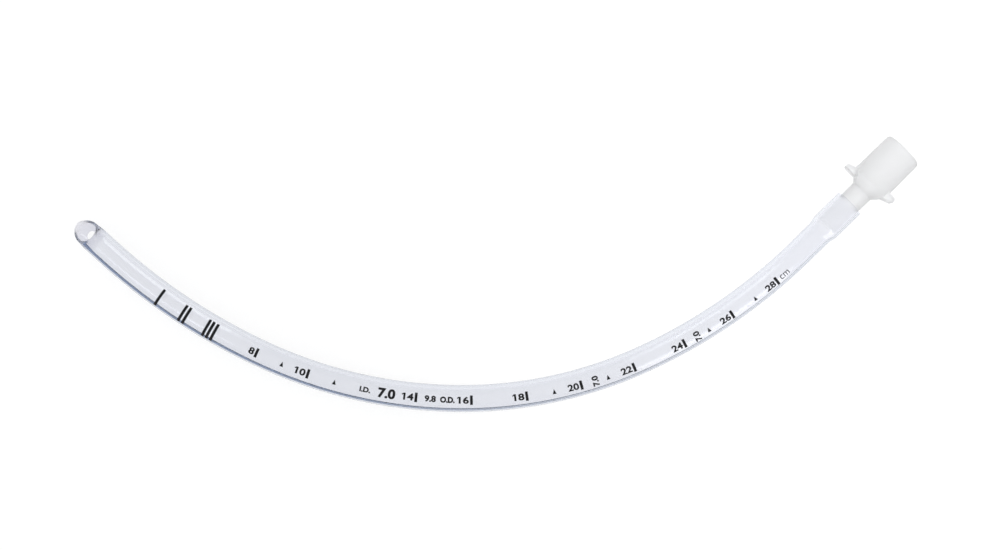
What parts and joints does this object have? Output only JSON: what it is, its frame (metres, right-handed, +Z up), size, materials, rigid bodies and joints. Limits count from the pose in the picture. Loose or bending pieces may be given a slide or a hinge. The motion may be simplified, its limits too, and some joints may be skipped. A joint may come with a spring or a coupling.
{
  "type": "endotracheal tube",
  "caption": "Clear curved plain endotracheal tube lying on its side, with bevelled tip, side eye, blue X-ray line and white conical connector with ears.",
  "frame": {"origin": "centre of the connector's machine end, on the axis of its cone", "axes": "+X points out of the connector along the cone's axis; the tube leaves along -X and bends towards +Y in the plane Z = 0; +Z is up as the tube lies on its side, and the tip's bevel faces +Z"},
  "size_m": [0.2373, 0.2016, 0.0154],
  "materials": {
    "clear_tube": "gloss",
    "blue_line": "satin",
    "white_connector": "satin",
    "black_print": "matte"
  },
  "bodies": {
    "root": {"tube": "clear_tube", "radiopaque_line": "blue_line", "connector": "white_connector"}
  },
  "joints": []
}
